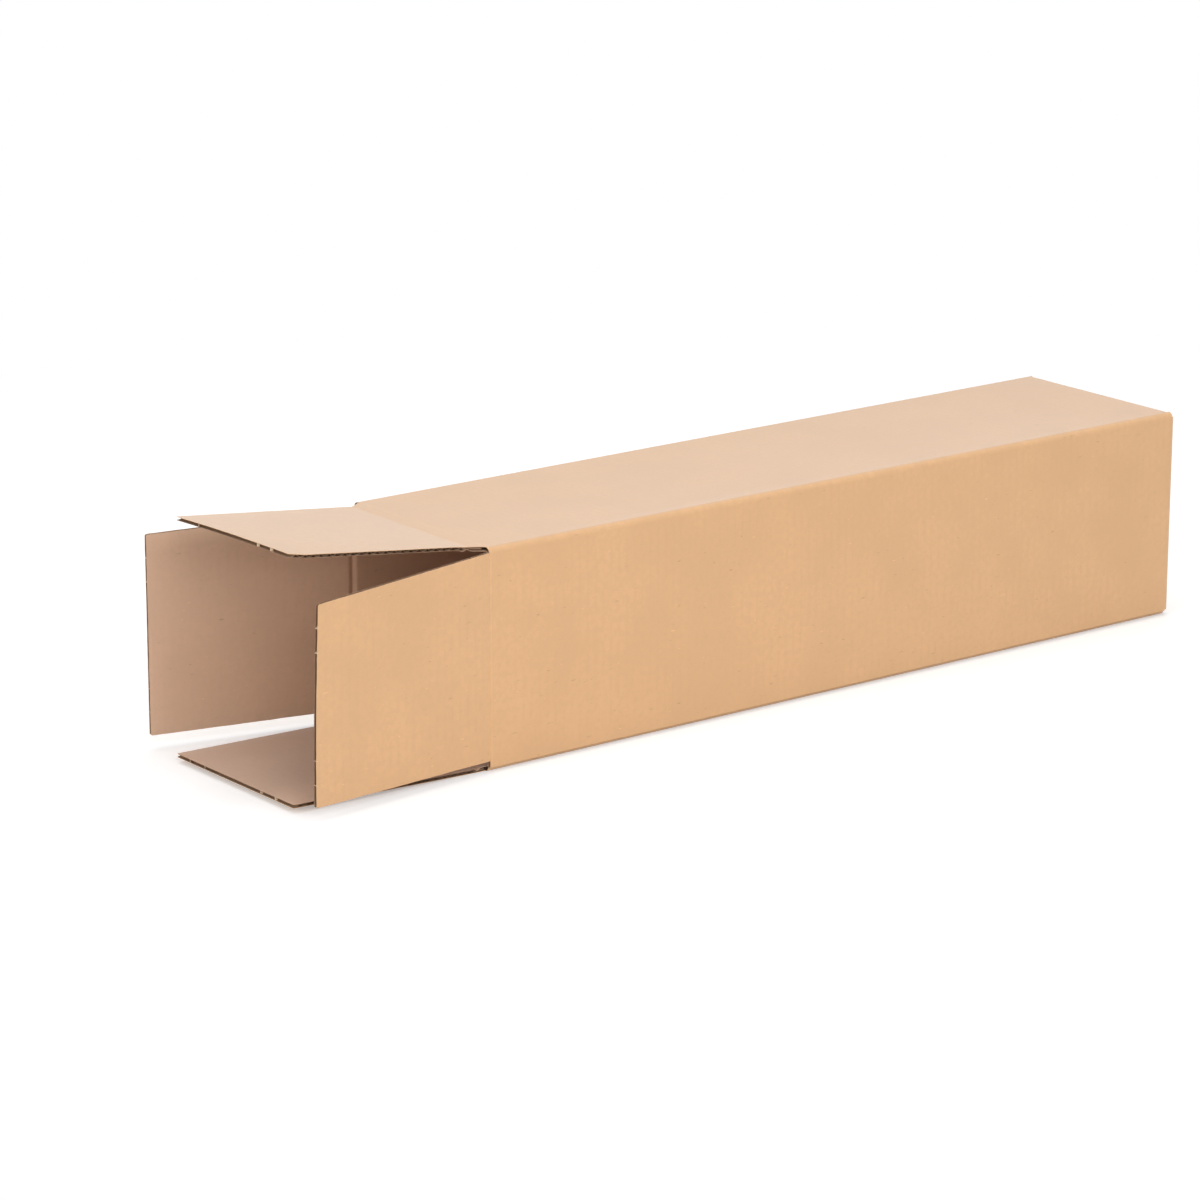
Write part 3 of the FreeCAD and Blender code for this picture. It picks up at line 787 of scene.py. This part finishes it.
def build_walls(sizes):
    """The strip of board that makes the four walls and the glue tab."""
    girth = Girth(sizes)
    stations = girth.stations
    frames = walls()
    starts, ends = wall_starts(sizes), wall_ends(sizes)
    marks = set(starts.values()) | set(ends.values()) | {MOUTH_X}
    marks |= set(spread(MOUTH_X + 12 * MM, END_X - 14 * MM, 31))
    tab_x = MOUTH_X + sizes.tab_gap
    marks.add(tab_x)
    along = sorted(marks)

    def in_crease(index, name):
        wall = frames[name]
        coordinate = 0 if name in ("top", "bottom") else 1
        middle = (stations[index][0][coordinate] + stations[index + 1][0][coordinate]) / 2
        return wall.low < middle < wall.high

    def tab_bevel(x, height):
        """How far the glue tab's slanted end is set back at a height; nothing at the closed end."""
        share = min(max((height - sizes.board) / sizes.tab_height, 0.0), 1.0)
        return sizes.tab_bevel * share * min((END_X - x) / (END_X - tab_x), 1.0)

    def keep(row, column):
        name = girth.cell_name(row)
        middle = (along[column] + along[column + 1]) / 2
        start = MOUTH_X
        if name == "tab":
            start = tab_x
        elif name in frames and in_crease(row, name):
            start = starts[name]
        return start < middle < ends[name]

    def give(station, x):
        """How far a flat wall bellies out; folds and both ends stay put."""
        position, _, bend, name = station
        if bend or name in ("fold", "tab"):
            return 0.0
        ends_fade = min(max(x - MOUTH_X - 6 * MM, 0.0), max(END_X - 10 * MM - x, 0.0)) / (60 * MM)
        if name in ("top", "bottom"):
            from_middle = position.x / HALF_WIDTH
        else:
            from_middle = (position.y - HEIGHT / 2) / (HEIGHT / 2)
        swell = BELLY[name] + wobble((x, position.x, position.y), 90 * MM, 0.3 * MM)
        return swell * (1 - from_middle ** 2) * min(ends_fade, 1)

    def place(row, column, depth):
        station = stations[row]
        position, normal, bend, name = station
        x = along[column]
        if name == "tab":
            x += tab_bevel(x, position.y)
        shift = give(station, x)
        if bend:
            shift += bend * wobble((x, row * 9 * MM, 0), 14 * MM, 0.16 * MM)
        at = position + normal * (shift - depth)
        return Vector((x, at.x, at.y))

    def wear(row, column):
        if along[column] == MOUTH_X:
            return 1.0
        # The folds get lighter half-way round each arc, partly scuffed wear and partly painted highlight.
        bend = stations[row][2]
        return 0.45 * bend * (0.75 + 0.25 * noise.noise(Vector((along[column] * 60, row, 0))))

    rows, columns = list(range(len(stations))), list(range(len(along)))
    shells = Shells()
    add_liners(shells, sizes, rows, columns, place, keep=keep, wear=wear)
    add_seam_flutes(shells, sizes)
    piece = shells.finish("tube_walls")
    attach(piece, "tube")
    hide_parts("tube")


def add_seam_flutes(shells, sizes):
    """The medium that shows at the front wall's raw lower edge and at the glue tab's top edge."""
    steps_per_flute = 10
    length = END_X - MOUTH_X - 12 * MM
    count = int(length / sizes.flute_pitch * steps_per_flute)
    depths = medium_depths(sizes)

    def on_plane(face_y):
        return lambda s, z, depth: Vector((MOUTH_X + s, face_y + depth, z))

    low = sizes.seam_height
    rows = spread(5 * MM, 5 * MM + length, count)
    heights = [low + 0.05 * MM, low + 7 * MM]
    shells.slab(rows, heights, on_plane(-HALF_WIDTH), depths, (MEDIUM, MEDIUM, MEDIUM))
    top = sizes.board + sizes.tab_height
    start = sizes.tab_gap + sizes.tab_bevel + 1 * MM
    rows = spread(start, start + length - 30 * MM, count)
    heights = [top - 7 * MM, top - 0.1 * MM]
    shells.slab(rows, heights, on_plane(tab_face(sizes)), depths, (MEDIUM, MEDIUM, MEDIUM))


# The closed end

def end_reach(sizes):
    """Length of an end flap from its fold."""
    return 2 * HALF_WIDTH - sizes.end_gap


def end_outline(sizes, low, high):
    """Width of an end flap at the distance s from its fold: tapered, with its corners cut."""
    straight = end_reach(sizes) - sizes.corner_run

    def across(s, t):
        lean = sizes.end_taper * min(max(s, 0.0), straight) / straight
        lean += sizes.corner_cut * max(s - straight, 0.0) / sizes.corner_run
        first, last = low + sizes.end_slot + lean, high - sizes.end_slot - lean
        return first + (last - first) * t

    return across


def bent_end(sizes, fold_x, face, outward, across_axis, drop=0.0):
    """Place on a wall that turns inwards over a rounded fold and closes the end.

    fold_x is the outer face's x past the fold, face the wall's place along outward, and drop how
    far the flap sinks below the fold."""
    radius = sizes.fold_radius
    quarter = radius * math.pi / 2
    outward, across_axis = Vector(outward), Vector(across_axis)

    def place(s, v, depth):
        if s <= 0:
            at = Vector((fold_x - radius + s, 0, 0)) + outward * (face - depth)
        elif s < quarter:
            angle = s / radius
            reach = radius - depth
            at = Vector((fold_x - radius + reach * math.sin(angle), 0, 0))
            at += outward * (face - radius + reach * math.cos(angle))
        else:
            run = s - quarter
            sunk = drop * smooth_step(run / (4 * MM))
            at = Vector((fold_x - depth - sunk, 0, 0)) + outward * (face - radius - run)
        return at + across_axis * v

    return place


def fold_rows(sizes):
    quarter = sizes.fold_radius * math.pi / 2
    return spread(0, quarter, 9)


def fold_wear_and_highlight(sizes):
    """Scuffed wear and painted highlight of an end fold, strongest half-way round it."""
    quarter = sizes.fold_radius * math.pi / 2
    return lambda s, t: math.sin(math.pi * min(s / quarter, 1.0))


def build_outer_end_flap(sizes):
    """The front wall's end flap, outermost, with its three raw edges and their flutes."""
    shells = Shells()
    across = end_outline(sizes, 0.0, HEIGHT)
    bend = bent_end(sizes, END_X, HALF_WIDTH, (0, -1, 0), (0, 0, 1))
    quarter = sizes.fold_radius * math.pi / 2
    shift = quarter - sizes.fold_radius
    end = end_reach(sizes) + shift

    def place(s, t, depth):
        v = across(s - shift, t)
        v += wobble((s, v, depth), 2.6 * MM, 0.2 * MM) * at_sides(t)
        return bend(s, v, depth)

    rows = fold_rows(sizes)[:-1] + spread(quarter, end - sizes.corner_run, 16)
    rows += [end - 5 * MM, end - 1 * MM, end]
    wave_end = end - 2 * MM
    steps = int((wave_end - 1 * MM) / sizes.flute_pitch * 10)
    wave_rows = spread(1 * MM, wave_end, steps)
    add_liners(shells, sizes, rows, spread(0, 1, 25), place, wear=fold_wear_and_highlight(sizes))
    shells.slab(wave_rows, spread(0.004, 0.996, 7), place, medium_depths(sizes), (MEDIUM, MEDIUM, MEDIUM))
    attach(shells.finish("outer_end_flap"), "tube")


def build_inner_end(sizes):
    """What shows of the end's other layers: their folds, the one under the free edge, and the inside."""
    quarter = sizes.fold_radius * math.pi / 2
    middle_x = END_X - MIDDLE_FOLD_SETBACK
    middle = {"drop": 2.5 * MM}
    recipes = {
        "back_end_flap": (
            bent_end(sizes, END_X - BACK_FOLD_SETBACK, HALF_WIDTH, (0, 1, 0), (0, 0, 1), drop=1.2 * MM),
            (0.0, HEIGHT), 60 * MM,
        ),
        "top_end_flap": (
            bent_end(sizes, middle_x, HEIGHT, (0, 0, 1), (0, 1, 0), **middle),
            (-HALF_WIDTH, HALF_WIDTH), 1.5 * MM,
        ),
        "bottom_end_flap": (
            bent_end(sizes, middle_x, 0.0, (0, 0, -1), (0, 1, 0), **middle),
            (-HALF_WIDTH + sizes.seam_setback, HALF_WIDTH), 1.5 * MM,
        ),
    }
    for name, (bend, (low, high), run) in recipes.items():
        across = end_outline(sizes, low, high)
        shells = Shells()
        rows = fold_rows(sizes)[:-1] + spread(quarter, quarter + run, 8)
        add_liners(
            shells, sizes, rows, spread(0, 1, 25),
            lambda s, t, depth, bend=bend, across=across: bend(s, across(s, t), depth), wear=fold_wear_and_highlight(sizes),
        )
        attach(shells.finish(name), "tube")

    shells = Shells()
    low, high = Vector((-HALF_WIDTH, 0)), Vector((HALF_WIDTH, HEIGHT))
    inner = 1.05 * sizes.board
    shells.slab(
        spread(low.x + inner, high.x - inner, 9), spread(low.y + inner, high.y - inner, 9),
        lambda y, z, x: Vector((x, y, z)),
        (END_X - 3 * sizes.board + 0.05 * MM, END_X - 2.2 * sizes.board), (INSIDE, INSIDE, INSIDE),
    )
    innermost = end_outline(sizes, -HALF_WIDTH, HALF_WIDTH)
    top = HEIGHT - 1.3 * sizes.board
    rows = spread(0, end_reach(sizes) - 1.3 * sizes.board, 15)
    shells.slab(
        rows, spread(0, 1, 21),
        lambda s, t, depth: Vector((END_X - 3 * sizes.board - depth, innermost(s + sizes.board, t), top - s)),
        (0.0, sizes.board - 0.1 * MM), (INSIDE, INSIDE, MEDIUM),
    )
    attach(shells.finish("inner_end_flap"), "tube")


# The studio

# Where the photograph was taken from, fitted to the tube's edges. The picture is square.
PICTURE_PIXELS = 1200
FOCAL_PIXELS = 4607.8
SENSOR = 36.0
CAMERA_AZIMUTH = math.radians(-37.957)
CAMERA_ELEVATION = math.radians(15.818)
CAMERA_ROLL = math.radians(0.121)
CAMERA_DISTANCE = 3.1935
CAMERA_TARGET = Vector((-0.09785, 0.07633, 0.04613))


def build_camera():
    data = bpy.data.cameras.new("studio_camera")
    data.sensor_width = SENSOR
    data.sensor_height = SENSOR
    data.sensor_fit = "HORIZONTAL"
    data.lens = FOCAL_PIXELS / PICTURE_PIXELS * SENSOR
    camera = bpy.data.objects.new("studio_camera", data)
    bpy.context.scene.collection.objects.link(camera)
    level = math.cos(CAMERA_ELEVATION)
    back = Vector((
        math.sin(CAMERA_AZIMUTH) * level, -math.cos(CAMERA_AZIMUTH) * level, math.sin(CAMERA_ELEVATION),
    ))
    right = (-back).cross(Vector((0, 0, 1))).normalized()
    up = right.cross(-back)
    rolled_right = right * math.cos(CAMERA_ROLL) + up * math.sin(CAMERA_ROLL)
    rolled_up = up * math.cos(CAMERA_ROLL) - right * math.sin(CAMERA_ROLL)
    turn = Matrix((rolled_right, rolled_up, back)).transposed().to_4x4()
    camera.matrix_world = Matrix.Translation(CAMERA_TARGET + back * CAMERA_DISTANCE) @ turn
    bpy.context.scene.camera = camera


# Name, place, width, height in metres and power in watts of each softbox
SOFTBOXES = (
    ("key_softbox", (-0.75, -2.5, 1.5), 2.6, 1.6, 42),
    ("top_softbox", (0.1, 0.3, 2.4), 2.4, 1.8, 26.5),
    ("mouth_softbox", (-2.6, -0.5, 0.9), 1.4, 1.2, 14),
)
LAMP_AIM = (0, 0, 0.07)


def build_lamp(name, place, width, height, power):
    """A large soft lamp that points at the tube's middle."""
    data = bpy.data.lights.new(name, "AREA")
    data.shape = "RECTANGLE"
    data.size, data.size_y = width, height
    data.energy = power
    lamp = bpy.data.objects.new(name, data)
    bpy.context.scene.collection.objects.link(lamp)
    lamp.location = place
    lamp.rotation_euler = (Vector(LAMP_AIM) - Vector(place)).to_track_quat("-Z", "Y").to_euler()


def build_floor(colour):
    """A wide pale floor, white to the camera except where the tube's shadow falls."""
    mesh = bpy.data.meshes.new("studio_floor")
    half = 6.0
    corners = [(-half, -half, 0), (half, -half, 0), (half, half, 0), (-half, half, 0)]
    mesh.from_pydata(corners, [], [(0, 1, 2, 3)])
    floor = bpy.data.objects.new("studio_floor", mesh)
    bpy.context.scene.collection.objects.link(floor)
    material = bpy.data.materials.new("floor_paper")
    nodes = NodeTree(material)
    matt = nodes.node("ShaderNodeBsdfDiffuse", {"Color": (*colour, 1)})
    lift_strength, fade_start, fade_end = 0.3, 0.45, 1.1
    lift = nodes.node("ShaderNodeEmission", {"Color": (1, 1, 1, 1), "Strength": lift_strength})
    near = nodes.node("ShaderNodeAddShader")
    nodes.tree.links.new(matt.outputs[0], near.inputs[0])
    nodes.tree.links.new(lift.outputs[0], near.inputs[1])
    white = nodes.node("ShaderNodeEmission", {"Color": (1, 1, 1, 1), "Strength": 1.0})

    # The floor turns plain white further away from the tube than its shadow reaches.
    place = nodes.node("ShaderNodeTexCoord").outputs["Object"]
    distance = nodes.node("ShaderNodeVectorMath", {0: place}, operation="LENGTH").outputs["Value"]
    faded = nodes.node("ShaderNodeMixShader", {"Fac": nodes.ramp(distance, fade_start, fade_end)})
    nodes.tree.links.new(near.outputs[0], faded.inputs[1])
    nodes.tree.links.new(white.outputs[0], faded.inputs[2])
    path = nodes.node("ShaderNodeLightPath")
    seen = nodes.math("MAXIMUM", path.outputs["Is Camera Ray"], path.outputs["Is Glossy Ray"])
    choice = nodes.node("ShaderNodeMixShader", {"Fac": seen})
    nodes.tree.links.new(matt.outputs[0], choice.inputs[1])
    nodes.tree.links.new(faded.outputs[0], choice.inputs[2])
    nodes.node("ShaderNodeOutputMaterial", {"Surface": choice.outputs[0]})
    mesh.materials.append(material)
    floor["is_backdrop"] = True


def build_world():
    """Soft white surroundings: full white where they are seen or mirrored, weaker as a lamp."""
    world = bpy.data.worlds.new("studio_world")
    bpy.context.scene.world = world
    nodes = NodeTree(world)
    path = nodes.node("ShaderNodeLightPath")
    seen = nodes.math("MAXIMUM", path.outputs["Is Camera Ray"], path.outputs["Is Glossy Ray"])
    seen = nodes.math("MAXIMUM", seen, path.outputs["Is Transmission Ray"])
    lamp_share = 0.42
    strength = nodes.math("ADD", nodes.math("MULTIPLY", seen, 1 - lamp_share), lamp_share)
    background = nodes.node("ShaderNodeBackground", {"Color": (1, 1, 1, 1), "Strength": strength})
    nodes.node("ShaderNodeOutputWorld", {"Surface": background.outputs[0]})


# Operators

class MAILING_TUBE_OT_walls(bpy.types.Operator):
    """Fold the tube's four walls and glue tab from one strip of board"""

    bl_idname = "mailing_tube.walls"
    bl_label = "Walls"

    def execute(self, context):
        build_walls(context.scene.mailing_tube_sizes)
        return {"FINISHED"}


class MAILING_TUBE_OT_closed_end(bpy.types.Operator):
    """Close the far end with its four glued flaps"""

    bl_idname = "mailing_tube.closed_end"
    bl_label = "Closed End"

    def execute(self, context):
        sizes = context.scene.mailing_tube_sizes
        build_outer_end_flap(sizes)
        build_inner_end(sizes)
        return {"FINISHED"}


class MAILING_TUBE_OT_flaps(bpy.types.Operator):
    """Make the four open flaps with their flutes and torn fibres"""

    bl_idname = "mailing_tube.flaps"
    bl_label = "Open Flaps"

    def execute(self, context):
        for wall in walls().values():
            build_flap(wall)
        return {"FINISHED"}


class MAILING_TUBE_OT_creases(bpy.types.Operator):
    """Join each flap to its wall with a crease that bends"""

    bl_idname = "mailing_tube.creases"
    bl_label = "Creases"

    def execute(self, context):
        for wall in walls().values():
            build_crease(wall)
        return {"FINISHED"}


class MAILING_TUBE_OT_studio(bpy.types.Operator):
    """Set up the pale floor, the soft light and the camera"""

    bl_idname = "mailing_tube.studio"
    bl_label = "Studio"

    def execute(self, context):
        scene = context.scene
        build_floor(scene.mailing_tube_colours.floor)
        build_world()
        for softbox in SOFTBOXES:
            build_lamp(*softbox)
        build_camera()
        scene.view_settings.view_transform = "Standard"
        return {"FINISHED"}


class MAILING_TUBE_PT_panel(bpy.types.Panel):
    """Sidebar panel that lists the tube's operators, sizes and colours"""

    bl_idname = "MAILING_TUBE_PT_panel"
    bl_label = "Mailing Tube"
    bl_space_type = "VIEW_3D"
    bl_region_type = "UI"
    bl_category = "Mailing Tube"

    def draw(self, context):
        for operator in OPERATORS:
            self.layout.operator(operator.bl_idname)
        for group in (context.scene.mailing_tube_sizes, context.scene.mailing_tube_colours):
            for name in group.bl_rna.properties.keys():
                if name not in ("rna_type", "name"):
                    self.layout.prop(group, name)


OPERATORS = (
    MAILING_TUBE_OT_walls,
    MAILING_TUBE_OT_closed_end,
    MAILING_TUBE_OT_flaps,
    MAILING_TUBE_OT_creases,
    MAILING_TUBE_OT_studio,
)
CLASSES = (MailingTubeSizes, MailingTubeColours) + OPERATORS + (MAILING_TUBE_PT_panel,)


def register():
    for one in CLASSES:
        bpy.utils.register_class(one)
    bpy.types.Scene.mailing_tube_sizes = PointerProperty(type=MailingTubeSizes)
    bpy.types.Scene.mailing_tube_colours = PointerProperty(type=MailingTubeColours)


def unregister():
    del bpy.types.Scene.mailing_tube_colours
    del bpy.types.Scene.mailing_tube_sizes
    for one in reversed(CLASSES):
        bpy.utils.unregister_class(one)


def main():
    register()
    bpy.ops.mailing_tube.studio()
    bpy.ops.mailing_tube.walls()
    bpy.ops.mailing_tube.closed_end()
    bpy.ops.mailing_tube.flaps()
    bpy.ops.mailing_tube.creases()
    boxes = {"cad": CAD_BOX, "visual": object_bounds()}
    plain = {name: [[float(value) for value in corner] for corner in box] for name, box in boxes.items()}


if __name__ == "__main__":
    main()
